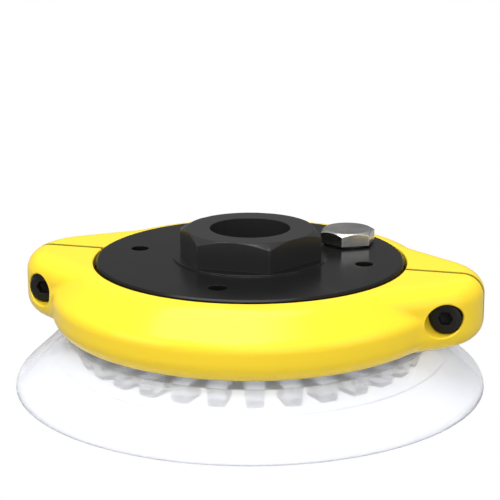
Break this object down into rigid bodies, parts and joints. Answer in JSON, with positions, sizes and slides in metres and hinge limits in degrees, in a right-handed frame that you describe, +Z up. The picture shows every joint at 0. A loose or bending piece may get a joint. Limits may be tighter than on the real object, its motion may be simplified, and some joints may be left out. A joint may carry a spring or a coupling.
{
  "type": "flat vacuum cup",
  "caption": "Wide flat suction cup of clear silicone with a cleated ceiling, held on a black fitting plate with a hexagon vacuum port by a split yellow clamp ring.",
  "frame": {"origin": "centre of the sealing plane under the lip", "axes": "+Z up the vacuum port away from the gripped surface, +X through the clamp ring's ear, +Y towards the nut side of the clamp"},
  "size_m": [0.112, 0.112, 0.037],
  "materials": {
    "clear_silicone": "smooth translucent silicone",
    "yellow_plastic": "smooth moulded, satin",
    "black_aluminium": "black anodised, fine turned",
    "black_steel": "black oxide",
    "plain_steel": "zinc plated",
    "nickel_brass": "nickel plated, satin",
    "black_rubber": "matte"
  },
  "bodies": {
    "root": {"suction_cup": "clear_silicone", "fitting_plate": "black_aluminium", "clamp_half_front": "yellow_plastic", "clamp_half_rear": "yellow_plastic", "clamp_screws": "black_steel", "clamp_nuts": "plain_steel", "port_plug": "nickel_brass", "plug_seal": "black_rubber"}
  },
  "joints": []
}
